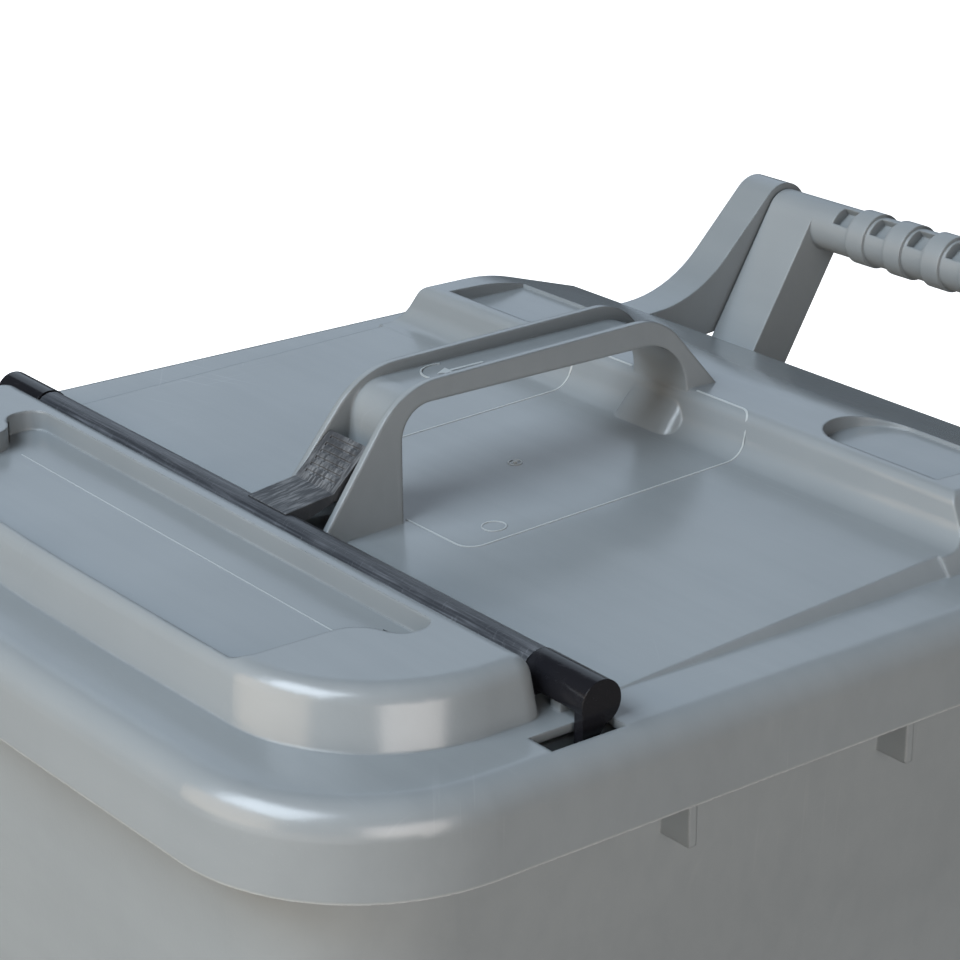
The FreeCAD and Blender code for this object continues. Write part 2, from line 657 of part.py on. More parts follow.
def make_tub():
    """Tub, rim, gussets, columns and grip first, then everything that is taken out of them."""
    outer = cut("tub_outer", tub_skin("tub_skin", "0", 0), axle_notch("notch", "0"))
    rim = cut("rim", prism("rim_block", FLAT, rim_corners("0"), "rim_top - rim_lip", "rim_top"),
              prism("rim_under", FLAT, rim_corners("rim_lip_wall"), "rim_top - rim_lip - 1",
                    "rim_top - rim_thick"))
    grip, pockets = grip_solids()
    solids = [outer, rim, *grip]
    for name, side in SIDES.items():
        solids += column(side)
        for n in range(3):
            low = f"gusset_first + gusset_pitch * {n} - gusset_thick / 2"
            span = mirror_span(side, "rim_half - 12", "rim_half + gusset_out")
            solids.append(box(f"gusset_{name}_{n}", (span[0], low, "gusset_bottom"),
                              (span[1], f"{low} + gusset_thick", "rim_top - 2")))
        for where in ("near", "far"):
            solids += axle_lug(f"axle_lug_{name}_{where}",
                               *mirror_span(side, f"lug_{where}", f"lug_{where} + lug_thick"))
    cavity = cut("cavity", tub_skin("cavity_skin", "wall", "base_hollow + wall"),
                 axle_notch("notch_wall", "wall"))
    removed = [
        cavity,
        box("base_recess", ("-base_half + base_margin", "base_front + base_margin", -1),
            ("base_half - base_margin", "notch_front - base_margin", "base_hollow")),
        rod("axle_bore", "axle_radius", "-rim_half", "rim_half", "axle_y", "axle_z"),
        *pockets,
    ]
    for name, side in SIDES.items():
        span = mirror_span(side, "slot_inner - 1", "rim_half + rim_out - rim_lip_wall")
        removed.append(box(f"keeper_{name}", (span[0], "slot_front", "rim_top - rim_lip - 1"),
                           (span[1], "bar_y + keeper_edge", "rim_top + 1")))
        removed.append(rod(f"column_bore_{name}", "pin_radius",
                           *mirror_span(side, "column_inner + 6", "column_outer + 1"),
                           "hinge_y", "hinge_z"))
    tub = cut("tub_part", join("tub_whole", *solids), join("tub_removed", *removed))
    tub.Label = "bin_body"
    return tub


# ---- the lock ----

def make_lock_bar():
    """The bar across the lid: round above, flat below, with a blind hole in each end for its pins."""
    body = new_body("bar_round")
    spun(body, "bar_turned", "PartDesign::Revolution", [
        ("-bar_half", 0, None), ("-bar_half", "bar_radius", None), ("bar_half", "bar_radius", None),
        ("bar_half", 0, None)])
    for name, side in SIDES.items():
        near, far = f"{side} * (bar_half - 18)", f"{side} * (bar_half + 1)"
        spun(body, f"bar_hole_{name}", "PartDesign::Groove", [
            (near, 0, None), (far, 0, None), (far, "lock_pin_radius", None),
            (near, "lock_pin_radius", None)])
    place(body, 0, "bar_y", "bar_z")
    flat = box("bar_flat_cut", ("-bar_half - 1", "bar_y - bar_radius", "bar_z - bar_radius - 1"),
               ("bar_half + 1", "bar_y + bar_radius", "bar_z - bar_flat"))
    bar = cut("bar_part", body, flat)
    bar.Label = "lock_bar"
    return bar


def make_lock_pin(side, label):
    """A turned pin from the bar's end, through the lid's lug, into the hook."""
    body = new_body(label)
    near, far = f"{side} * (bar_half - 18)", f"{side} * (hook_outer - 1)"
    spun(body, f"{label}_turned", "PartDesign::Revolution", [
        (near, 0, None), (far, 0, None), (far, "lock_pin_radius", None), (near, "lock_pin_radius", None)])
    return place(body, 0, "bar_y", "bar_z")


def make_hook(side, label):
    """The end moulding: an inner cheek, a half-round cover, and a plate with the hooked leg."""
    plate_span = mirror_span(side, "hook_inner", "hook_outer")
    plate = prism(f"{label}_leg", ALONG, [
        ("bar_y - shell_radius * 0.95", "bar_z - 2", None),
        ("bar_y - hook_leg - 0.5", "bar_z - shell_radius - 4", None),
        ("bar_y - hook_leg - 0.5", "hook_leg_bottom", None),
        ("bar_y + nose_reach - 2", "hook_leg_bottom", None),
        ("bar_y + nose_reach", "hook_leg_bottom + 3", None),
        ("bar_y + nose_reach", "nose_top", None),
        ("bar_y - 0.5", "nose_top", None),
        ("bar_y - 0.5", "flange_top - 4", None),
        ("bar_y + 3", "bar_z - shell_radius + 1", None),
        ("bar_y + 3", "bar_z", None),
    ], *plate_span)
    disc = rod(f"{label}_disc", "shell_radius", *plate_span, "bar_y", "bar_z")
    cheek = cut(f"{label}_cheek",
                rod(f"{label}_cheek_disc", "shell_radius", *mirror_span(side, "cheek_inner", "cheek_outer"),
                    "bar_y", "bar_z"),
                box(f"{label}_cheek_flat", ("-lid_half", "bar_y - 20", "bar_z - 20"),
                    ("lid_half", "bar_y + 20", "bar_z - shell_radius + 2.6")))
    cover = cut(f"{label}_cover",
                rod(f"{label}_cover_out", "shell_radius", *mirror_span(side, "cheek_inner", "hook_outer"),
                    "bar_y", "bar_z"),
                join(f"{label}_cover_less",
                     rod(f"{label}_cover_in", "shell_radius - shell_wall",
                         *mirror_span(side, "cheek_inner - 1", "hook_outer + 1"), "bar_y", "bar_z"),
                     box(f"{label}_cover_open", ("-lid_half", "bar_y - 20", "bar_z - 20"),
                         ("lid_half", "bar_y + 20", "bar_z - 2.5"))))
    hook = cut(f"{label}_part", join(f"{label}_whole", plate, disc, cheek, cover),
               rod(f"{label}_bore", "lock_pin_radius",
                   *mirror_span(side, "cheek_inner - 1", "hook_outer - 1"), "bar_y", "bar_z"))
    hook.Label = label
    return hook


def make_lever():
    """The press lever: a saddle on the bar, a flat run to a knee, and a tilted pad with grip lines."""
    climb = "atan((lever_tip_z - lever_knee_z) / (lever_tip_y - lever_knee_y))"
    run = "sqrt(pow(lever_tip_z - lever_knee_z; 2) + pow(lever_tip_y - lever_knee_y; 2))"
    arm = prism("lever_arm", ALONG, [
        ("bar_y", "bar_z", None),
        ("bar_y", "bar_z + shell_radius", None),
        ("lever_knee_y", "lever_knee_z", None),
        (f"lever_knee_y + lever_thick * sin({climb})", f"lever_knee_z - lever_thick * cos({climb})", None),
        ("bar_y + shell_radius * 0.8", "bar_z + 3", None),
    ], "-lever_half", "lever_half")
    tilt = FreeCAD.Rotation(X_AXIS, value(climb))
    foot = (f"lever_knee_y + lever_thick * sin({climb})", f"lever_knee_z - lever_thick * cos({climb})")
    pad = bind(place(doc.addObject("Part::Box", "lever_pad"), "-lever_half", *foot, tilt),
               Length="2 * lever_half", Width=run, Height="lever_thick")
    pad = soften("lever_pad_round", pad, "2.5",
                 lambda edge: abs(edge.Length - value("lever_thick")) < 0.01
                 and edge.CenterOfMass.z > value("lever_tip_z - lever_thick - 3"))
    lines = 6
    floor = f"(lever_thick - 0.8)"
    grooves = []
    for n in range(lines):
        up = f"({run} * ({n} + 1) / ({lines} + 1))"
        spot = (f"{foot[0]} + {up} * cos({climb}) - {floor} * sin({climb})",
                f"{foot[1]} + {up} * sin({climb}) + {floor} * cos({climb})")
        grooves.append(bind(place(doc.addObject("Part::Box", f"lever_line_{n}"), "-lever_half + 3.5",
                                  *spot, tilt), Length="2 * lever_half - 7", Width="1.4", Height="2"))
    lever = cut("lever_part", join("lever_whole", arm, pad),
                join("lever_removed", *grooves,
                     rod("lever_bore", "bar_radius", "-lever_half - 1", "lever_half + 1",
                         "bar_y", "bar_z")))
    lever.Label = "press_lever"
    return lever


def make_spring(side, label):
    """A torsion coil round the lock pin, under the end moulding."""
    coil = doc.addObject("Part::Helix", f"{label}_path")
    bind(coil, Pitch="spring_pitch", Height="spring_pitch * spring_turns", Radius="spring_coil")
    turn = FreeCAD.Rotation(FreeCAD.Vector(0, 1, 0), 90 * side)
    place(coil, f"{side} * spring_start", "bar_y", "bar_z", turn)
    wire = doc.addObject("Part::Circle", f"{label}_wire")
    bind(wire, Radius="spring_wire / 2")
    upright = turn.multiply(FreeCAD.Rotation(X_AXIS, 90))
    offset = turn.multVec(FreeCAD.Vector(value("spring_coil"), 0, 0))
    place(wire, f"{side} * spring_start + ({offset.x})", f"bar_y + ({offset.y})",
          f"bar_z + ({offset.z})", upright)
    sweep = doc.addObject("Part::Sweep", f"{label}_part")
    doc.recompute()
    sweep.Sections = [wire]
    sweep.Spine = (coil, [f"Edge{n}" for n in range(1, len(coil.Shape.Edges) + 1)])
    sweep.Solid = True
    sweep.Frenet = True
    sweep.Label = label
    return sweep


# ---- hinge pins, axle and wheels ----

def make_hinge_pin(side, label):
    """A headed pin through the lid's arm into the column."""
    body = new_body(label)
    near, neck, far = (f"{side} * ({rule})" for rule in
                       ("column_inner + 7", "arm_outer + 0.6", "arm_outer + 0.6 + pin_head"))
    spun(body, f"{label}_turned", "PartDesign::Revolution", [
        (near, 0, None), (far, 0, None), (far, "pin_head_radius", "pin_head * 0.5"),
        (neck, "pin_head_radius", None), (neck, "pin_radius", None), (near, "pin_radius", None)])
    return place(body, 0, "hinge_y", "hinge_z")


def make_axle():
    """The steel axle, with a small chamfer at each end."""
    body = new_body("axle")
    spun(body, "axle_turned", "PartDesign::Revolution", [
        ("-axle_half", 0, None), ("-axle_half", "axle_radius - 1.5", None),
        ("-axle_half + 1.5", "axle_radius", None), ("axle_half - 1.5", "axle_radius", None),
        ("axle_half", "axle_radius - 1.5", None), ("axle_half", 0, None)])
    return place(body, 0, "axle_y", "axle_z")


def turned_on_axle(side, label, corners):
    """A turned piece on the axle, drawn as (distance from the wheel's middle plane, radius)."""
    body = new_body(label)
    spun(body, f"{label}_turned", "PartDesign::Revolution",
         [(f"{side} * ({along})", radius, rounding) for along, radius, rounding in corners])
    return place(body, f"{side} * wheel_x", "axle_y", "axle_z")


def make_tyre(side, label):
    """A solid tyre with round shoulders and a groove round the middle of its tread."""
    return turned_on_axle(side, label, [
        ("-tyre_half", "tyre_inner", None),
        ("-tyre_half", "wheel_radius", "tyre_shoulder"),
        ("-4", "wheel_radius", None),
        ("-3", "wheel_radius - 4", None),
        ("3", "wheel_radius - 4", None),
        ("4", "wheel_radius", None),
        ("tyre_half", "wheel_radius", "tyre_shoulder"),
        ("tyre_half", "tyre_inner", None),
    ])


def make_hub(side, label):
    """A moulded hub: boss, web with a ring of windows between spokes, and a rim under the tyre."""
    body = turned_on_axle(side, label, [
        ("-hub_boss_half", "hub_bore", None),
        ("-hub_boss_half", "hub_boss", None),
        ("-hub_web / 2", "hub_boss", None),
        ("-hub_web / 2", "tyre_inner - hub_rim", None),
        ("-hub_rim_half", "tyre_inner - hub_rim", None),
        ("-hub_rim_half", "tyre_inner", None),
        ("hub_rim_half", "tyre_inner", None),
        ("hub_rim_half", "tyre_inner - hub_rim", None),
        ("hub_web / 2", "tyre_inner - hub_rim", None),
        ("hub_web / 2", "hub_boss", None),
        ("hub_boss_half", "hub_boss", None),
        ("hub_boss_half", "hub_bore", None),
    ])
    doc.recompute()
    window = body.newObject("PartDesign::Pocket", f"{label}_window")
    window.Profile = ring(sketch_on(body, f"{label}_window_outline", "YZ_Plane"), "hub_window",
                          "hub_window_at", 0)
    window.Type = "ThroughAll"
    window.Midplane = True
    doc.recompute()
    windows = body.newObject("PartDesign::PolarPattern", f"{label}_windows")
    windows.Originals = [window]
    windows.Axis = (next(item for item in body.Origin.OriginFeatures if item.Role == "X_Axis"), [""])
    windows.Angle = 360
    windows.Occurrences = 6
    body.Tip = windows
    return body


def make_nut(side, label):
    """A push-on retaining cap over the axle's end."""
    return turned_on_axle(side, label, [
        ("axle_half - wheel_x - nut_thick * 2", "axle_radius", None),
        ("axle_half - wheel_x - nut_thick * 2", "nut_radius", None),
        ("axle_half - wheel_x - nut_thick", "nut_radius", None),
        ("axle_half - wheel_x - nut_thick", "axle_radius + nut_thick", None),
        ("axle_half - wheel_x + nut_thick", "axle_radius + nut_thick", "nut_thick * 0.9"),
        ("axle_half - wheel_x + nut_thick", 0, None),
        ("axle_half - wheel_x", 0, None),
        ("axle_half - wheel_x", "axle_radius", None),
    ])


def make_cap(side, label):
    """The domed cover that hides the axle's end, seated on the hub's boss."""
    seat = "hub_web / 2"
    crown = "axle_half - wheel_x + nut_thick + 1.5"
    return turned_on_axle(side, label, [
        (seat, "hub_boss", None),
        (seat, "cap_radius", None),
        (f"{crown} + 2", "cap_radius", "cap_rise * 0.7"),
        (f"{crown} + 2", 0, None),
        (crown, 0, None),
        (crown, "hub_boss", None),
    ])


def make_spacer(side, label):
    """A sleeve that keeps the wheel off the tub."""
    start = "lug_far + lug_thick - wheel_x"
    return turned_on_axle(side, label, [
        (start, "axle_radius", None), (start, "spacer_radius", None),
        ("-hub_boss_half - 1", "spacer_radius", None), ("-hub_boss_half - 1", "axle_radius", None)])


def make_all():
    """Every sub-part of the bin."""
    parts = [make_lid(), make_tub(), make_lock_bar(), make_lever(), make_axle()]
    makers = {
        "lock_hook": make_hook, "lock_pin": make_lock_pin, "lock_spring": make_spring,
        "hinge_pin": make_hinge_pin, "tyre": make_tyre, "wheel_hub": make_hub,
        "hub_cap": make_cap, "axle_cap_nut": make_nut, "axle_spacer": make_spacer,
    }
    for stem, make in makers.items():
        for name, side in SIDES.items():
            parts.append(make(side, f"{stem}_{name}"))
    return parts


def main():
    """Build the bin, check it, and write one file for each sub-part."""
    parts = make_all()
    doc.recompute()
    failed = [item.Name for item in doc.Objects if {"Invalid", "Error"} & set(item.State)]
    if failed:
        raise RuntimeError(f"objects that failed: {failed}")
    for part in parts:
        if part.Shape.isNull() or not part.Shape.isValid():
            raise RuntimeError(f"{part.Label} has no valid shape")
    os.makedirs("parts", exist_ok=True)
    for part in parts:
        part.Shape.exportStep(f"parts/{part.Label}.step")
        print(f"{part.Label:22} {part.Shape.Volume / 1000:9.1f} cm3  solids {len(part.Shape.Solids)}")


main()
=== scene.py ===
"""Looks of a two-wheeled refuse bin with a press-to-open lid lock.

The bin's moulded shells come from the fixed frame and get their plastics, rubber and metals here. The fine
relief of the lid and both treaded tyres are modelled as separate pieces.
Frame: +Z up, +Y to the back (the side of the push bar), +X to the right as seen from the front, in metres.
"""
from __future__ import annotations

import json
import logging
import math
from dataclasses import dataclass
from enum import Enum
from typing import Any, Union

import bmesh
import bpy
from mathutils import Matrix, Vector
from mathutils.bvhtree import BVHTree

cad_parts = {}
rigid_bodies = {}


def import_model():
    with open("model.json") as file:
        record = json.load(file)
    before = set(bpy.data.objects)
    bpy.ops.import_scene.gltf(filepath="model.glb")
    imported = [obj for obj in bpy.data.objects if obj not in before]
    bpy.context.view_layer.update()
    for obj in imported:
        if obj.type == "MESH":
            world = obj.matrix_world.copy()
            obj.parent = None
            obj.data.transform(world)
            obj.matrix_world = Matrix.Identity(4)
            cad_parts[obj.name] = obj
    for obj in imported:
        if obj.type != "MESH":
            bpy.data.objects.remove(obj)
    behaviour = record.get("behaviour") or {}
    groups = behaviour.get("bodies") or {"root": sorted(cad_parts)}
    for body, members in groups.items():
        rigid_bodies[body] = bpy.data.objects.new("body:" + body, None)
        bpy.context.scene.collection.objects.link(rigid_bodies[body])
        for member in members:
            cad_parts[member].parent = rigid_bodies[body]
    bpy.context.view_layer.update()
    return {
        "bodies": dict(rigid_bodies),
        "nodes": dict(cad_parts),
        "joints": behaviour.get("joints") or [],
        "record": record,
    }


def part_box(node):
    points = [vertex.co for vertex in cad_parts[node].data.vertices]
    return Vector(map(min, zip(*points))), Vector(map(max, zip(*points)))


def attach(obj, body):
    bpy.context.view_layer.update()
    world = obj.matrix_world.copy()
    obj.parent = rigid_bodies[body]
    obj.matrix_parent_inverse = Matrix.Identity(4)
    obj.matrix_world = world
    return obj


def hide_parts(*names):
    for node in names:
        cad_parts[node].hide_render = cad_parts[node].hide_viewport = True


Colour = tuple[float, float, float]
Place = tuple[float, float, float]
Span = tuple[float, float, float]
LOG = logging.getLogger("refuse_bin")
MM = 0.001
BEVEL_SAMPLES = 4
NOISE_ROUGHNESS = 0.55
EDGE_BAND = (0.01, 0.16)


class Body(str, Enum):
    """The moving bodies that the modelled pieces ride on."""

    LID = "lid"
    WHEEL_LEFT = "wheel_left"
    WHEEL_RIGHT = "wheel_right"


class Slot(str, Enum):
    """The record's material slots."""

    BODY = "body_plastic"
    LID = "lid_plastic"
    BAR = "bar_black"
    LEVER = "lever_black"
    HOOK = "hook_black"
    STEEL = "steel"
    NUT = "nut_steel"
    PIN = "pin_grey"
    TYRE = "tyre"
    HUB = "hub_plastic"


# ---------------------------------------------------------------------------------------------------------
# Shader building
# ---------------------------------------------------------------------------------------------------------


class Value:
    """A number that varies over a surface; Python operators on it add Math nodes."""

    def __init__(self, shader: Shader, socket: bpy.types.NodeSocket) -> None:
        """Keeps the shader that the socket belongs to, and the socket."""
        self.shader = shader
        self.socket = socket

    def _math(self, operation: str, first: Any, second: Any) -> Value:
        """Adds one Math node.

        Args:
            operation: the Math node's operation.
            first: its first value.
            second: its second value.

        Returns:
            The node's result.
        """
        node = self.shader.node("ShaderNodeMath", {"operation": operation}, {0: first, 1: second})
        return Value(self.shader, node.outputs[0])

    def __add__(self, other: Number) -> Value:
        """The sum."""
        return self._math("ADD", self, other)

    def __radd__(self, other: Number) -> Value:
        """The sum, with the plain number first."""
        return self._math("ADD", other, self)

    def __sub__(self, other: Number) -> Value:
        """The difference."""
        return self._math("SUBTRACT", self, other)

    def __rsub__(self, other: Number) -> Value:
        """The difference, with the plain number first."""
        return self._math("SUBTRACT", other, self)

    def __mul__(self, other: Number) -> Value:
        """The product."""
        return self._math("MULTIPLY", self, other)

    def band(self, low: float, high: float) -> Value:
        """A smooth step of this value.

        Args:
            low: the value at which the result is 0.
            high: the value at which the result is 1.

        Returns:
            The step, from 0 to 1.
        """
        node = self.shader.node("ShaderNodeMapRange", {"interpolation_type": "SMOOTHSTEP", "clamp": True},
                                {"Value": self, "From Min": low, "From Max": high})
        return Value(self.shader, node.outputs["Result"])


Number = Union[float, Value]


class Shader:
    """One node material: its Principled surface and short ways to build patterns for it."""

    def __init__(self, name: str) -> None:
        """Starts an empty material of that name."""
        self.material = bpy.data.materials.new(name)
        self.material.use_nodes = True
        self.tree = self.material.node_tree
        self.surface = next(n for n in self.tree.nodes if n.type == "BSDF_PRINCIPLED")
        self.place = self.node("ShaderNodeTexCoord", {}, {}).outputs["Object"]

    def node(self, kind: str, settings: dict[str, Any],
             inputs: dict[Union[str, int], Any]) -> bpy.types.Node:
        """Adds any node.

        Args:
            kind: the node's type.
            settings: the node's own properties, set before its sockets.
            inputs: values, Values or sockets for its inputs, by name or number.

        Returns:
            The new node.
        """
        made = self.tree.nodes.new(kind)
        for name, setting in settings.items():
            setattr(made, name, setting)
        for key, given in inputs.items():
            self.feed(made.inputs[key], given)
        return made

    def feed(self, socket: bpy.types.NodeSocket, given: Any) -> None:
        """Links or sets an input.

        Args:
            socket: the input.
            given: a Value, an output socket, or a plain value.
        """
        if isinstance(given, Value):
            given = given.socket
        if isinstance(given, bpy.types.NodeSocket):
            self.tree.links.new(given, socket)
        elif isinstance(given, tuple) and len(given) == 3 and socket.type == "RGBA":
            socket.default_value = (*given, 1.0)
        else:
            socket.default_value = given

    def stretched(self, scale: tuple[float, float, float], turn: float = 0.0) -> bpy.types.NodeSocket:
        """Object coordinates scaled along each axis, and turned about Z.

        Args:
            scale: how much each axis is scaled.
            turn: the turn in degrees.

        Returns:
            The coordinates.
        """
        spans = tuple(1.0 / amount for amount in scale)
        node = self.node("ShaderNodeMapping", {"vector_type": "TEXTURE"}, {
            "Vector": self.place, "Rotation": (0.0, 0.0, math.radians(turn)), "Scale": spans})
        return node.outputs["Vector"]

    def noise(self, scale: float, detail: float = 2.0, place: bpy.types.NodeSocket | None = None) -> Value:
        """Cloudy noise.

        Args:
            scale: features per metre.
            detail: octaves of finer noise.
            place: the coordinates, or the plain object coordinates.

        Returns:
            The noise, around 0.5.
        """
        node = self.node("ShaderNodeTexNoise", {}, {
            "Vector": place or self.place, "Scale": scale, "Detail": detail, "Roughness": NOISE_ROUGHNESS})
        return Value(self, node.outputs["Fac"])

    def cells(self, scale: float) -> Value:
        """Distance from the middle of scattered cells.

        Args:
            scale: cells per metre.

        Returns:
            The distance, 0 in the middle of each cell.
        """
        node = self.node("ShaderNodeTexVoronoi", {}, {"Vector": self.place, "Scale": scale})
        return Value(self, node.outputs["Distance"])

    def axis(self, name: str) -> Value:
        """One object coordinate.

        Args:
            name: X, Y or Z.

        Returns:
            The coordinate in metres.
        """
        return Value(self, self.node("ShaderNodeSeparateXYZ", {}, {"Vector": self.place}).outputs[name])

    def facing(self, name: str) -> Value:
        """One part of the surface's outward direction.

        Args:
            name: X, Y or Z.

        Returns:
            The part, from -1 to 1.
        """
        outward = self.node("ShaderNodeNewGeometry", {}, {}).outputs["True Normal"]
        return Value(self, self.node("ShaderNodeSeparateXYZ", {}, {"Vector": outward}).outputs[name])

    def blend(self, base: Any, over: Any, mask: Number) -> bpy.types.NodeSocket:
        """One colour laid over another.

        Args:
            base: the colour where the mask is 0.
            over: the colour where the mask is 1.
            mask: where the second colour shows.

        Returns:
            The mixed colour.
        """
        node = self.node("ShaderNodeMix", {"data_type": "RGBA"}, {0: mask, 6: base, 7: over})
        return node.outputs[2]

    def rounded(self, radius: float) -> bpy.types.NodeSocket:
        """The surface's direction with its edges softened.

        Args:
            radius: how far the softening reaches, in metres.

        Returns:
            The softened direction.
        """
        return self.node("ShaderNodeBevel", {"samples": BEVEL_SAMPLES}, {"Radius": radius}).outputs["Normal"]

    def edges(self, soft: bpy.types.NodeSocket) -> Value:
        """Where the softened direction leaves the true one, which is along the edges.

        Args:
            soft: the softened direction.

        Returns:
            A mask, 1 on the edges.
        """
        true = self.node("ShaderNodeNewGeometry", {}, {}).outputs["True Normal"]
        node = self.node("ShaderNodeVectorMath", {"operation": "DOT_PRODUCT"}, {0: soft, 1: true})
        return (1.0 - Value(self, node.outputs["Value"])).band(*EDGE_BAND)

    def bump(self, height: Number, depth: float, base: bpy.types.NodeSocket) -> bpy.types.NodeSocket:
        """Relief from a height.

        Args:
            height: the height, from 0 to 1.
            depth: the height's size in metres.
            base: the direction it is added to.

        Returns:
            The new direction.
        """
        node = self.node("ShaderNodeBump", {}, {
            "Height": height, "Distance": depth, "Strength": 1.0, "Normal": base})
        return node.outputs["Normal"]

    def paint(self, **sockets: Any) -> None:
        """Sets or links the surface's inputs.

        Args:
            sockets: what each input gets; an underscore in a name stands for a space.
        """
        for name, given in sockets.items():
            self.feed(self.surface.inputs[name.replace("_", " ")], given)


# ---------------------------------------------------------------------------------------------------------
# Finishes
# ---------------------------------------------------------------------------------------------------------


@dataclass(frozen=True)
class MouldedGrey:
    """Satin grey polyethylene: fine orange peel, flow streaks, specks, scuffs and a painted highlight along
    the edges.
    """

    name: str
    colour: Colour
    dark: Colour
    pale: Colour
    rough: float
    speck: float
    scuff: float
    edge_radius: float
    flash_from: float | None = None
    flash_height: float = 1.2 * MM
    flash_strength: float = 0.55
    grit_colour: Colour = (0.02, 0.02, 0.02)
    cloud_scale: float = 9.0
    streak_span: Span = (5.0, 95.0, 60.0)
    speck_scale: float = 420.0
    grit_scale: float = 150.0
    # How strongly the rounded edges are painted paler, as a painted highlight.
    edge_highlight: float = 0.16
    peel_scale: float = 650.0
    peel_depth: float = 0.12 * MM
    wave_scale: float = 16.0
    wave_depth: float = 1.2 * MM
    gloss_scale: float = 210.0
    scratch_runs: tuple[tuple[float, float], ...] = ((18.0, 420.0), (-34.0, 520.0), (82.0, 460.0))
    scratch_length: float = 14.0
    refraction: float = 1.5

    def make(self) -> bpy.types.Material:
        """Builds the material.

        Returns:
            The finished material.
        """
        shader = Shader(self.name)
        clouds = shader.noise(self.cloud_scale, 3.0).band(0.32, 0.68)
        streaks = shader.noise(1.0, 3.0, shader.stretched(self.streak_span)).band(0.35, 0.7)
        colour = shader.blend(self.colour, self.dark, clouds * 0.45 + streaks * 0.25)
        specked = shader.noise(11.0, 1.0).band(0.4, 0.7)
        speck = (1.0 - shader.cells(self.speck_scale).band(0.04, 0.09)) * specked
        colour = shader.blend(colour, self.pale, speck * self.speck)
        gritty = shader.noise(23.0, 1.0).band(0.55, 0.62)
        grit = (1.0 - shader.cells(self.grit_scale).band(0.02, 0.05)) * gritty
        colour = shader.blend(colour, self.grit_colour, grit * self.speck)
        scratch = self._scratches(shader)
        colour = shader.blend(colour, self.pale, scratch * self.scuff)
        soft = shader.rounded(self.edge_radius)
        edge = shader.edges(soft)
        # Painted highlight: the rounded edges are painted paler in noisy patches, standing in for the light
        # they catch.
        patchy = shader.noise(45.0, 2.0).band(0.3, 0.7) * self.edge_highlight
        colour = shader.blend(colour, self.pale, edge * patchy)
        if self.flash_from is not None:
            flash = 1.0 - shader.axis("Z").band(self.flash_from, self.flash_from + self.flash_height)
            colour = shader.blend(colour, self.pale, flash * self.flash_strength)
        peel = shader.noise(self.peel_scale, 2.0)
        waves = shader.noise(self.wave_scale, 1.0)
        relief = shader.bump(peel * 0.3 + scratch * 0.1, self.peel_depth, soft)
        relief = shader.bump(waves, self.wave_depth, relief)
        rough = self.rough + clouds * 0.05 + shader.noise(self.gloss_scale, 2.0) * 0.04
        shader.paint(Base_Color=colour, Roughness=rough, Normal=relief)
        shader.paint(IOR=self.refraction, Specular_IOR_Level=0.5)
        return shader.material

    def _scratches(self, shader: Shader) -> Value:
        """Thin scratches that run a few ways.

        Args:
            shader: the shader they are for.

        Returns:
            A mask, 1 on the scratches.
        """
        found: Value | None = None
        for turn, across in self.scratch_runs:
            span = (self.scratch_length, across, self.scratch_length)
            line = shader.noise(1.0, 1.0, shader.stretched(span, turn)).band(0.69, 0.75)
            found = line if found is None else found + line
        patch = shader.noise(7.0, 2.0).band(0.55, 0.72)
        return found * patch


@dataclass(frozen=True)
class ScratchedBlack:
    """Near-black plastic that hands and weather have scratched grey."""

    name: str
    colour: Colour
    pale: Colour
    rough: float
    along: Span
    wear: float
    edge_radius: float
    cross_span: Span = (900.0, 160.0, 160.0)
    cross_turn: float = 24.0
    rubbed_scale: float = 38.0
    hair_depth: float = 0.12 * MM
    grain_scale: float = 520.0
    grain_depth: float = 0.10 * MM
    refraction: float = 1.5

    def make(self) -> bpy.types.Material:
        """Builds the material.

        Returns:
            The finished material.
        """
        shader = Shader(self.name)
        hairs = shader.noise(1.0, 4.0, shader.stretched(self.along)).band(0.42, 0.66)
        cross = shader.noise(1.0, 3.0, shader.stretched(self.cross_span, self.cross_turn)).band(0.58, 0.74)
        patchy = shader.noise(self.rubbed_scale, 3.0).band(0.38, 0.66)
        top = shader.facing("Z").band(0.2, 0.9)
        soft = shader.rounded(self.edge_radius)
        edge = shader.edges(soft)
        worn = (hairs * 0.55 + cross * 0.35) * (patchy * 0.6 + 0.4) * (top * 0.75 + 0.25)
        mask = (worn + edge * 0.25) * self.wear
        colour = shader.blend(self.colour, self.pale, mask)
        relief = shader.bump(hairs * 0.5 + cross * 0.5, self.hair_depth, soft)
        relief = shader.bump(shader.noise(self.grain_scale, 2.0), self.grain_depth, relief)
        shader.paint(Base_Color=colour, Roughness=self.rough + mask * 0.22 + patchy * 0.08, Normal=relief)
        shader.paint(IOR=self.refraction)
        return shader.material


@dataclass(frozen=True)
class GlossyMoulding:
    """Smooth glossy plastic with a little dust and a few fine marks."""

    name: str
    colour: Colour
    dust: Colour
    rough: float
    dusty: float
    shine: float = 0.5
    film_scale: float = 70.0
    mark_span: Span = (60.0, 800.0, 800.0)
    mark_turn: float = 12.0
    edge_radius: float = 0.6 * MM
    swirl_scale: float = 240.0
    swirl_depth: float = 0.05 * MM
    refraction: float = 1.45

    def make(self) -> bpy.types.Material:
        """Builds the material.

        Returns:
            The finished material.
        """
        shader = Shader(self.name)
        film = shader.noise(self.film_scale, 4.0).band(0.45, 0.75) * shader.facing("Z").band(-0.1, 0.9)
        marks = shader.noise(1.0, 2.0, shader.stretched(self.mark_span, self.mark_turn)).band(0.66, 0.74)
        soft = shader.rounded(self.edge_radius)
        colour = shader.blend(self.colour, self.dust, (film * 0.6 + marks * 0.4) * self.dusty)
        relief = shader.bump(shader.noise(self.swirl_scale, 2.0), self.swirl_depth, soft)
        shader.paint(Base_Color=colour, Roughness=self.rough + film * 0.06 + marks * 0.04, Normal=relief)
        shader.paint(IOR=self.refraction, Specular_IOR_Level=self.shine)
        return shader.material


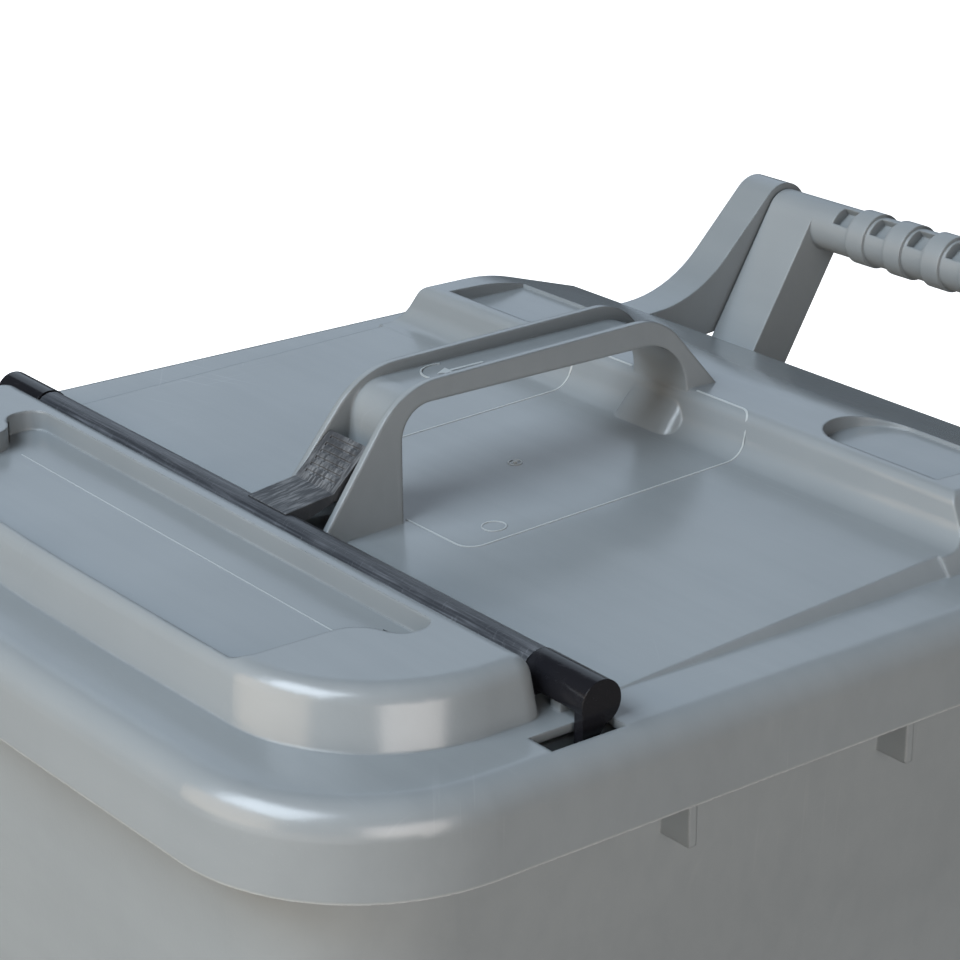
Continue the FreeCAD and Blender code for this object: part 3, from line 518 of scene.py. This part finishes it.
@dataclass(frozen=True)
class BrushedMetal:
    """Plated steel with turning lines and a dull bloom."""

    name: str
    colour: Colour
    bloom: Colour
    rough: float
    line_span: Span = (1800.0, 60.0, 60.0)
    line_depth: float = 0.03 * MM
    spot_scale: float = 140.0
    edge_radius: float = 0.3 * MM

    def make(self) -> bpy.types.Material:
        """Builds the material.

        Returns:
            The finished material.
        """
        shader = Shader(self.name)
        lines = shader.noise(1.0, 3.0, shader.stretched(self.line_span))
        spots = shader.noise(self.spot_scale, 4.0).band(0.46, 0.72)
        colour = shader.blend(self.colour, self.bloom, spots * 0.6)
        relief = shader.bump(lines, self.line_depth, shader.rounded(self.edge_radius))
        shader.paint(Base_Color=colour, Metallic=1.0 - spots * 0.35, Normal=relief)
        shader.paint(Roughness=self.rough + spots * 0.25 + lines * 0.08)
        return shader.material


@dataclass(frozen=True)
class TyreRubber:
    """Solid black rubber, greyed by road dust on its running face."""

    name: str
    colour: Colour
    dust: Colour
    rough: float
    dust_scale: float = 55.0
    pit_scale: float = 380.0
    fleck_scale: float = 600.0
    grain_scale: float = 750.0
    grain_depth: float = 0.25 * MM
    edge_radius: float = 0.8 * MM

    def make(self) -> bpy.types.Material:
        """Builds the material.

        Returns:
            The finished material.
        """
        shader = Shader(self.name)
        dust = shader.noise(self.dust_scale, 5.0).band(0.36, 0.7)
        pits = 1.0 - shader.cells(self.pit_scale).band(0.08, 0.3)
        flecks = shader.noise(self.fleck_scale, 2.0)
        colour = shader.blend(self.colour, self.dust, dust * 0.55 + flecks * 0.15)
        grain = shader.noise(self.grain_scale, 3.0) - pits * 0.4
        relief = shader.bump(grain, self.grain_depth, shader.rounded(self.edge_radius))
        shader.paint(Base_Color=colour, Roughness=self.rough + dust * 0.1, Normal=relief)
        return shader.material


FINISHES = {
    Slot.BODY: MouldedGrey(
        "tub_polyethylene", colour=(0.215, 0.235, 0.245), dark=(0.185, 0.203, 0.213),
        pale=(0.50, 0.52, 0.52), rough=0.34, speck=0.16, scuff=0.05, edge_radius=1.6 * MM),
    Slot.LID: MouldedGrey(
        "lid_polyethylene", colour=(0.205, 0.225, 0.235), dark=(0.178, 0.197, 0.208),
        pale=(0.52, 0.54, 0.54), rough=0.175, speck=0.12, scuff=0.05, edge_radius=2.0 * MM,
        flash_from=0.843),
    Slot.BAR: ScratchedBlack(
        "rubbed_bar", colour=(0.022, 0.024, 0.029), pale=(0.20, 0.21, 0.23), rough=0.33,
        along=(22.0, 900.0, 900.0), wear=0.75, edge_radius=0.7 * MM),
    Slot.LEVER: ScratchedBlack(
        "worn_lever", colour=(0.024, 0.026, 0.030), pale=(0.24, 0.25, 0.26), rough=0.42,
        along=(700.0, 90.0, 90.0), wear=0.95, edge_radius=0.7 * MM),
    Slot.HOOK: GlossyMoulding(
        "glossy_black", colour=(0.008, 0.008, 0.010), dust=(0.10, 0.10, 0.11), rough=0.16,
        dusty=0.20, shine=0.28),
    Slot.STEEL: BrushedMetal(
        "plated_steel", colour=(0.56, 0.57, 0.58), bloom=(0.33, 0.32, 0.30), rough=0.30),
    Slot.NUT: BrushedMetal(
        "spring_steel", colour=(0.48, 0.49, 0.50), bloom=(0.28, 0.27, 0.25), rough=0.34),
    Slot.PIN: GlossyMoulding(
        "grey_acetal", colour=(0.19, 0.205, 0.215), dust=(0.40, 0.40, 0.40), rough=0.30, dusty=0.30),
    Slot.TYRE: TyreRubber(
        "tyre_rubber", colour=(0.018, 0.018, 0.020), dust=(0.085, 0.080, 0.073), rough=0.62),
    Slot.HUB: GlossyMoulding(
        "hub_black", colour=(0.022, 0.023, 0.025), dust=(0.13, 0.125, 0.12), rough=0.36, dusty=0.60),
}

# The raised mould lines are the lid's own plastic, painted much paler than the lid as a painted highlight on
# the fine ridges.
RELIEF_HIGHLIGHT_LOOK = MouldedGrey(
    "lid_relief_painted_highlight", colour=(0.36, 0.385, 0.39), dark=(0.30, 0.325, 0.33), pale=(0.52, 0.54, 0.54),
    rough=0.30, speck=0.0, scuff=0.0, edge_radius=0.1 * MM)


class Paintbox:
    """Makes each finish once and hands it out."""

    def __init__(self) -> None:
        """Starts with only the relief's material made."""
        self.made: dict[Slot, bpy.types.Material] = {}
        self.relief = RELIEF_HIGHLIGHT_LOOK.make()

    def of(self, slot: Slot) -> bpy.types.Material:
        """The material of a slot, built the first time it is asked for.

        Args:
            slot: the material slot.

        Returns:
            Its material.
        """
        if slot not in self.made:
            self.made[slot] = FINISHES[slot].make()
        return self.made[slot]


# ---------------------------------------------------------------------------------------------------------
# Pieces
# ---------------------------------------------------------------------------------------------------------


class Skin:
    """A CAD node's surface, for laying relief on it."""

    def __init__(self, node: bpy.types.Object) -> None:
        """Reads the node's mesh."""
        mesh = node.data
        self.tree = BVHTree.FromPolygons([v.co for v in mesh.vertices], [p.vertices for p in mesh.polygons])

    def under(self, point: Vector, way: Vector) -> Vector:
        """Where a ray from a point meets the surface.

        Args:
            point: the ray's start.
            way: its direction.

        Returns:
            The place it meets, or the start if it meets nothing.
        """
        place = self.tree.ray_cast(point, way)[0]
        return point if place is None else place


class Maker:
    """Turns bmesh shapes into dressed pieces that ride on their bodies."""

    def __init__(self, paints: Paintbox) -> None:
        """Keeps the paintbox."""
        self.paints = paints

    def piece(self, name: str, shape: bmesh.types.BMesh, slot: Slot, body: Body,
              finish: bpy.types.Material | None = None) -> bpy.types.Object:
        """Makes an object of a shape.

        Args:
            name: the piece's name.
            shape: its shape, which is freed.
            slot: its material slot.
            body: the body it rides on.
            finish: its material, or the slot's own if there is none.

        Returns:
            The new object.
        """
        mesh = bpy.data.meshes.new(name)
        shape.to_mesh(mesh)
        shape.free()
        mesh.materials.append(finish or self.paints.of(slot))
        made = bpy.data.objects.new(name, mesh)
        bpy.context.collection.objects.link(made)
        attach(made, body.value)
        LOG.info("%s: %d faces on %s", name, len(mesh.polygons), body.value)
        return made


@dataclass(frozen=True)
class Mark:
    """Where one small round mark sits on the lid, and its size."""

    name: str
    x: float
    y: float
    radius: float


@dataclass
class MouldRelief:
    """Fine raised lines that the mould leaves on the lid: insert outline, pin marks and a press sign."""

    maker: Maker
    skin: Skin
    start_height: float = 0.93
    line_width: float = 0.9 * MM
    line_height: float = 0.25 * MM
    outline_half: float = 63 * MM
    outline_front: float = -88 * MM
    outline_rear: float = 76 * MM
    outline_corner: float = 9 * MM
    corner_steps: int = 8
    long_edge: float = 20 * MM
    long_edge_cuts: int = 90
    sink: float = 0.15 * MM
    rear_leg_half: float = 23 * MM
    front_leg_half: float = 18.5 * MM
    rings: tuple[Mark, ...] = (
        Mark("pin_mark_front", 49.7 * MM, -63.8 * MM, 5.6 * MM),
        Mark("pin_mark_left", -49.7 * MM, -63.8 * MM, 5.6 * MM),
        Mark("gate_mark", -1.9 * MM, -11.8 * MM, 3.4 * MM),
    )
    ring_width: float = 0.55 * MM
    ring_height: float = 0.3 * MM
    ring_steps: int = 40
    scar: Mark = Mark("gate_scar", -1.9 * MM, -11.8 * MM, 1.1 * MM)
    scar_height: float = 0.8 * MM
    scar_steps: int = 14
    flow_half: tuple[float, float] = (128 * MM, 0.35 * MM)
    flow_y: float = -195 * MM
    flow_height: float = 0.12 * MM
    flow_start: float = 0.92
    flow_steps: int = 24
    sign_y: float = -52 * MM
    sign_height: float = 0.45 * MM
    sign_start: float = 1.0
    arc_radius: float = 11.5 * MM
    arc_width: float = 0.8 * MM
    arc_open_from: float = 4.5 * MM
    arc_steps: int = 48
    arrow_radius: float = 4.6 * MM
    stem_half: tuple[float, float] = (0.9 * MM, 9 * MM)
    stem_shift: float = 11.5 * MM
    stem_steps: int = 6

    def build(self) -> None:
        """Makes every raised mark of the lid."""
        self._outline()
        for mark in self.rings:
            self._ring_mark(mark)
        self._gate_scar()
        self._flow_line()
        self._press_sign()

    def _raise(self, name: str, shape: bmesh.types.BMesh, height: float, start: float) -> None:
        """Lays flat faces on the lid, gives them their height and makes the piece.

        Args:
            name: the piece's name.
            shape: flat faces in the XY plane, in the right place.
            height: how far they stand up.
            start: the height that they drop from.
        """
        down = Vector((0.0, 0.0, -1.0))
        for vertex in shape.verts:
            place = self.skin.under(Vector((vertex.co.x, vertex.co.y, start)), down)
            vertex.co = place - Vector((0.0, 0.0, self.sink))
        bmesh.ops.recalc_face_normals(shape, faces=shape.faces)
        grown = bmesh.ops.extrude_face_region(shape, geom=shape.faces[:])
        tops = [item for item in grown["geom"] if isinstance(item, bmesh.types.BMVert)]
        bmesh.ops.translate(shape, vec=Vector((0.0, 0.0, height + self.sink)), verts=tops)
        bmesh.ops.recalc_face_normals(shape, faces=shape.faces)
        self.maker.piece(name, shape, Slot.LID, Body.LID, self.maker.paints.relief)

    def _hollow(self, shape: bmesh.types.BMesh, width: float) -> None:
        """Leaves only a band along the rim of a flat face.

        Args:
            shape: the mesh with the face.
            width: the band's width.
        """
        bmesh.ops.inset_region(shape, faces=shape.faces[:], thickness=width, use_boundary=True,
                               use_even_offset=True)
        middle = max(shape.faces, key=lambda face: face.calc_area())
        bmesh.ops.delete(shape, geom=[middle], context="FACES")

    def _outline(self) -> None:
        """The rounded outline of the handle's mould insert."""
        shape = bmesh.new()
        bmesh.ops.create_grid(shape, x_segments=1, y_segments=1, size=1.0)
        bmesh.ops.scale(shape, verts=shape.verts, vec=Vector(
            (self.outline_half, (self.outline_rear - self.outline_front) / 2, 1.0)))
        bmesh.ops.translate(shape, verts=shape.verts, vec=Vector(
            (0.0, (self.outline_rear + self.outline_front) / 2, 0.0)))
        bmesh.ops.bevel(shape, geom=shape.verts[:], offset=self.outline_corner, offset_type="OFFSET",
                        segments=self.corner_steps, profile=0.5, affect="VERTICES", material=-1)
        self._hollow(shape, self.line_width)
        long_edges = [edge for edge in shape.edges if edge.calc_length() > self.long_edge]
        bmesh.ops.subdivide_edges(shape, edges=long_edges, cuts=self.long_edge_cuts, use_grid_fill=True)
        inside = [face for face in shape.faces if self._meets_handle(face.calc_center_median())]
        bmesh.ops.delete(shape, geom=inside, context="FACES")
        self._raise("mould_outline", shape, self.line_height, self.start_height)

    def _meets_handle(self, place: Vector) -> bool:
        """Whether a place on the outline lies under one of the handle's legs.

        Args:
            place: the place, in the XY plane.

        Returns:
            True under the front or the rear leg.
        """
        leg_half = self.rear_leg_half if place.y > 0.0 else self.front_leg_half
        return abs(place.x) < leg_half

    def _ring_mark(self, mark: Mark) -> None:
        """A thin raised ring.

        Args:
            mark: its name, place and outer radius.
        """
        shape = bmesh.new()
        bmesh.ops.create_circle(shape, cap_ends=True, segments=self.ring_steps, radius=mark.radius)
        bmesh.ops.translate(shape, verts=shape.verts, vec=Vector((mark.x, mark.y, 0.0)))
        self._hollow(shape, self.ring_width)
        self._raise(mark.name, shape, self.ring_height, self.start_height)

    def _gate_scar(self) -> None:
        """The small snapped-off stub in the middle of the gate mark."""
        shape = bmesh.new()
        bmesh.ops.create_circle(shape, cap_ends=True, segments=self.scar_steps, radius=self.scar.radius)
        bmesh.ops.translate(shape, verts=shape.verts, vec=Vector((self.scar.x, self.scar.y, 0.0)))
        self._raise(self.scar.name, shape, self.scar_height, self.start_height)

    def _flow_line(self) -> None:
        """The straight line across the floor of the front recess."""
        shape = bmesh.new()
        bmesh.ops.create_grid(shape, x_segments=self.flow_steps, y_segments=1, size=1.0)
        bmesh.ops.scale(shape, verts=shape.verts, vec=Vector((*self.flow_half, 1.0)))
        bmesh.ops.translate(shape, verts=shape.verts, vec=Vector((0.0, self.flow_y, 0.0)))
        self._raise("recess_line", shape, self.flow_height, self.flow_start)

    def _press_sign(self) -> None:
        """A plain sign in the handle's trough: an open arc over an arrow that points to the pad."""
        centre = Vector((0.0, self.sign_y, 0.0))
        arc = bmesh.new()
        bmesh.ops.create_circle(arc, cap_ends=True, segments=self.arc_steps, radius=self.arc_radius)
        self._hollow(arc, self.arc_width)
        cut = [face for face in arc.faces if face.calc_center_median().y > self.arc_open_from]
        bmesh.ops.delete(arc, geom=cut, context="FACES")
        bmesh.ops.translate(arc, verts=arc.verts, vec=centre)
        self._raise("press_arc", arc, self.sign_height, self.sign_start)
        arrow = bmesh.new()
        bmesh.ops.create_circle(arrow, cap_ends=True, segments=3, radius=self.arrow_radius)
        bmesh.ops.rotate(arrow, verts=arrow.verts, cent=Vector(), matrix=Matrix.Rotation(math.pi, 3, "Z"))
        bmesh.ops.translate(arrow, verts=arrow.verts, vec=centre)
        self._raise("press_arrow", arrow, self.sign_height, self.sign_start)
        stem = bmesh.new()
        bmesh.ops.create_grid(stem, x_segments=1, y_segments=self.stem_steps, size=1.0)
        bmesh.ops.scale(stem, verts=stem.verts, vec=Vector((*self.stem_half, 1.0)))
        bmesh.ops.translate(stem, verts=stem.verts, vec=centre + Vector((0.0, self.stem_shift, 0.0)))
        self._raise("press_stem", stem, self.sign_height, self.sign_start)


@dataclass
class Tyre:
    """One solid tyre: a round-shouldered ring with three rows of shallow tread blocks."""

    maker: Maker
    side: str
    body: Body
    inner_radius: float = 78 * MM
    groove_depth: float = 2.2 * MM
    shoulder: float = 7 * MM
    shoulder_cut: float = 0.3
    bead_inset: float = 1.5 * MM
    bead_rise: float = 2 * MM
    ring_steps: int = 96
    blocks: int = 40
    block_size: Span = (11.5 * MM, 10.5 * MM, 5 * MM)
    block_inset: float = 0.3 * MM
    block_bevel: float = 0.8 * MM
    row_pitch: float = 14.5 * MM
    row_drop: float = 1.0 * MM
    slant: float = 14.0

    def build(self) -> None:
        """Makes the ring and its blocks in place of the CAD tyre."""
        node = f"tyre_{self.side}"
        low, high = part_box(node)
        centre = (low + high) / 2
        radius = (high.z - low.z) / 2
        half = (high.x - low.x) / 2
        shape = bmesh.new()
        self._ring(shape, radius - self.groove_depth, half)
        for row in (-1, 0, 1):
            self._row(shape, radius, row)
        bmesh.ops.translate(shape, verts=shape.verts, vec=centre)
        made = self.maker.piece(f"solid_{node}", shape, Slot.TYRE, self.body)
        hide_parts(node)

    def _ring(self, shape: bmesh.types.BMesh, radius: float, half: float) -> None:
        """Spins the tyre's section round the axle.

        Args:
            shape: the mesh that the ring goes into.
            radius: the ring's outer radius.
            half: half its width.
        """
        soft = self.shoulder
        cut = soft * self.shoulder_cut
        bead = self.inner_radius + self.bead_rise
        section = ((-half + self.bead_inset, self.inner_radius), (-half, bead),
                   (-half, radius - soft), (-half + cut, radius - cut), (-half + soft, radius),
                   (half - soft, radius), (half - cut, radius - cut), (half, radius - soft),
                   (half, bead), (half - self.bead_inset, self.inner_radius))
        corners = [shape.verts.new((x, 0.0, r)) for x, r in section]
        runs = [shape.edges.new(pair) for pair in zip(corners, corners[1:] + corners[:1])]
        bmesh.ops.spin(shape, geom=corners + runs, cent=(0.0, 0.0, 0.0), axis=(1.0, 0.0, 0.0),
                       angle=math.tau, steps=self.ring_steps, use_merge=True)
        bmesh.ops.recalc_face_normals(shape, faces=shape.faces)

    def _row(self, shape: bmesh.types.BMesh, radius: float, row: int) -> None:
        """Sets one row of blocks round the ring.

        Args:
            shape: the mesh that the blocks go into.
            radius: the radius of the blocks' tops.
            row: -1, 0 or 1, from left to right.
        """
        block = bmesh.ops.create_cube(shape, size=1.0)["verts"]
        bmesh.ops.scale(shape, verts=block, vec=Vector(self.block_size))
        lean = Matrix.Rotation(math.radians(self.slant * row), 3, "Z")
        bmesh.ops.rotate(shape, verts=block, cent=Vector(), matrix=lean)
        lift = radius - self.block_size[2] / 2 - self.block_inset
        drop = self.row_drop * abs(row)
        bmesh.ops.translate(shape, verts=block, vec=Vector((self.row_pitch * row, 0.0, lift - drop)))
        start = math.pi / self.blocks if row else 0.0
        bmesh.ops.rotate(shape, verts=block, cent=Vector(), matrix=Matrix.Rotation(start, 3, "X"))
        sharp = {edge for vert in block for edge in vert.link_edges}
        bevelled = bmesh.ops.bevel(shape, geom=list(sharp), offset=self.block_bevel, offset_type="OFFSET",
                                   segments=1, profile=0.5, affect="EDGES", material=-1)
        verts = {vert for face in bevelled["faces"] for vert in face.verts}
        faces = {face for vert in verts for face in vert.link_faces}
        edges = {edge for vert in verts for edge in vert.link_edges}
        turn = math.tau * (self.blocks - 1) / self.blocks
        bmesh.ops.spin(shape, geom=list(verts) + list(edges) + list(faces), cent=(0.0, 0.0, 0.0),
                       axis=(1.0, 0.0, 0.0), angle=turn, steps=self.blocks - 1, use_duplicate=True)


class Nodes:
    """Dresses the CAD nodes with their slots' finishes."""

    def __init__(self, frame: dict[str, Any], paints: Paintbox) -> None:
        """Keeps the frame and the paintbox."""
        self.frame = frame
        self.paints = paints

    def dress(self) -> None:
        """Gives every CAD node the finish of its slot."""
        for row in self.frame["record"]["subparts"]:
            node = self.frame["nodes"][row["node"]]
            material = self.paints.of(Slot(row["material_slot"]))
            for index in range(len(node.material_slots)):
                node.material_slots[index].material = material
            LOG.info("%s wears %s", node.name, material.name)


# ---------------------------------------------------------------------------------------------------------
# Studio
# ---------------------------------------------------------------------------------------------------------


@dataclass(frozen=True)
class Softbox:
    """One soft area light."""

    name: str
    place: Place
    target: Place
    size: tuple[float, float]
    power: float
    colour: Colour

    def build(self) -> None:
        """Makes the light and aims it."""
        lamp = bpy.data.lights.new(self.name, "AREA")
        lamp.shape = "RECTANGLE"
        lamp.size, lamp.size_y = self.size
        lamp.energy = self.power
        lamp.color = self.colour
        made = bpy.data.objects.new(self.name, lamp)
        made.location = self.place
        made.rotation_euler = (Vector(self.target) - Vector(self.place)).to_track_quat("-Z", "Y").to_euler()
        made.visible_camera = False
        bpy.context.collection.objects.link(made)


@dataclass(frozen=True)
class Studio:
    """A pale floor, a pale surround, soft lights and the camera."""

    camera_place: Place = (0.93295, -0.74650, 1.33148)
    camera_right: Place = (0.60807, 0.79388, -0.00250)
    camera_ahead: Place = (-0.74197, 0.56718, -0.35746)
    lens: float = 104.74
    sensor: float = 36.0
    clip: tuple[float, float] = (0.02, 200.0)
    floor_half: float = 40.0
    floor_colour: Colour = (1.0, 1.0, 1.0)
    floor_bounce: Colour = (0.32, 0.31, 0.29)
    floor_glow: float = 0.97
    floor_rough: float = 0.95
    glow_colour: Colour = (0.80, 0.88, 1.0)
    glow_strength: float = 0.11
    backdrop_colour: Colour = (1.0, 1.0, 1.0)
    lights: tuple[Softbox, ...] = (
        Softbox("front_softbox", place=(-0.8, -3.4, 1.5), target=(0.0, 0.0, 0.8), size=(3.4, 2.4),
                power=72.0, colour=(1.0, 0.81, 0.60)),
        Softbox("high_front", place=(-0.2, -2.4, 3.4), target=(0.0, 0.0, 0.85), size=(2.6, 1.8),
                power=168.0, colour=(0.78, 0.89, 1.0)),
        Softbox("sky_panel", place=(-3.0, 2.2, 2.6), target=(0.0, 0.0, 0.85), size=(4.0, 2.6),
                power=28.0, colour=(0.72, 0.85, 1.0)),
        Softbox("side_fill", place=(3.3, -1.0, 1.2), target=(0.0, 0.0, 0.7), size=(2.4, 2.0),
                power=80.0, colour=(1.0, 0.93, 0.88)),
        Softbox("ground_fill", place=(0.6, -2.0, 0.15), target=(0.0, 0.0, 0.7), size=(3.0, 1.4),
                power=14.0, colour=(1.0, 0.95, 0.88)),
    )

    def build(self) -> None:
        """Makes the floor, the surround, the lights and the camera."""
        self._floor()
        self._surround()
        for light in self.lights:
            light.build()
        self._camera()

    def _floor(self) -> None:
        """The plain pale floor."""
        shape = bmesh.new()
        bmesh.ops.create_grid(shape, x_segments=1, y_segments=1, size=self.floor_half)
        mesh = bpy.data.meshes.new("floor")
        shape.to_mesh(mesh)
        shape.free()
        shader = Shader("pale_floor")
        seen = shader.node("ShaderNodeLightPath", {}, {}).outputs["Is Camera Ray"]
        shader.paint(Base_Color=shader.blend(self.floor_bounce, self.floor_colour, Value(shader, seen)))
        shader.paint(Emission_Color=shader.blend((0.0, 0.0, 0.0), self.floor_colour, Value(shader, seen)))
        shader.paint(Roughness=self.floor_rough, Emission_Strength=self.floor_glow)
        mesh.materials.append(shader.material)
        floor = bpy.data.objects.new("floor", mesh)
        bpy.context.collection.objects.link(floor)

    def _surround(self) -> None:
        """Soft even light from all round, with a white backdrop."""
        world = bpy.data.worlds.new("surround")
        world.use_nodes = True
        tree = world.node_tree
        tree.nodes.clear()
        out = tree.nodes.new("ShaderNodeOutputWorld")
        glow = tree.nodes.new("ShaderNodeBackground")
        glow.inputs["Color"].default_value = (*self.glow_colour, 1.0)
        glow.inputs["Strength"].default_value = self.glow_strength
        drop = tree.nodes.new("ShaderNodeBackground")
        drop.inputs["Color"].default_value = (*self.backdrop_colour, 1.0)
        drop.inputs["Strength"].default_value = 1.0
        seen = tree.nodes.new("ShaderNodeLightPath")
        mix = tree.nodes.new("ShaderNodeMixShader")
        tree.links.new(seen.outputs["Is Camera Ray"], mix.inputs["Fac"])
        tree.links.new(glow.outputs["Background"], mix.inputs[1])
        tree.links.new(drop.outputs["Background"], mix.inputs[2])
        tree.links.new(mix.outputs["Shader"], out.inputs["Surface"])
        bpy.context.scene.world = world

    def _camera(self) -> None:
        """The camera, from its place and its directions."""
        lens = bpy.data.cameras.new("camera")
        lens.lens = self.lens
        lens.sensor_width = self.sensor
        lens.clip_start, lens.clip_end = self.clip
        camera = bpy.data.objects.new("camera", lens)
        right = Vector(self.camera_right).normalized()
        back = -Vector(self.camera_ahead).normalized()
        up = back.cross(right)
        turn = Matrix((right, up, back)).transposed().to_4x4()
        camera.matrix_world = Matrix.Translation(Vector(self.camera_place)) @ turn
        bpy.context.collection.objects.link(camera)
        bpy.context.scene.camera = camera
        bpy.context.scene.view_settings.view_transform = "Standard"


def main() -> None:
    """Builds the bin's looks round the fixed frame."""
    logging.basicConfig(level=logging.INFO, format="%(message)s")
    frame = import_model()
    Studio().build()
    paints = Paintbox()
    Nodes(frame, paints).dress()
    maker = Maker(paints)
    MouldRelief(maker, Skin(frame["nodes"]["lid"])).build()
    Tyre(maker, "left", Body.WHEEL_LEFT).build()
    Tyre(maker, "right", Body.WHEEL_RIGHT).build()


if __name__ == "__main__":
    main()
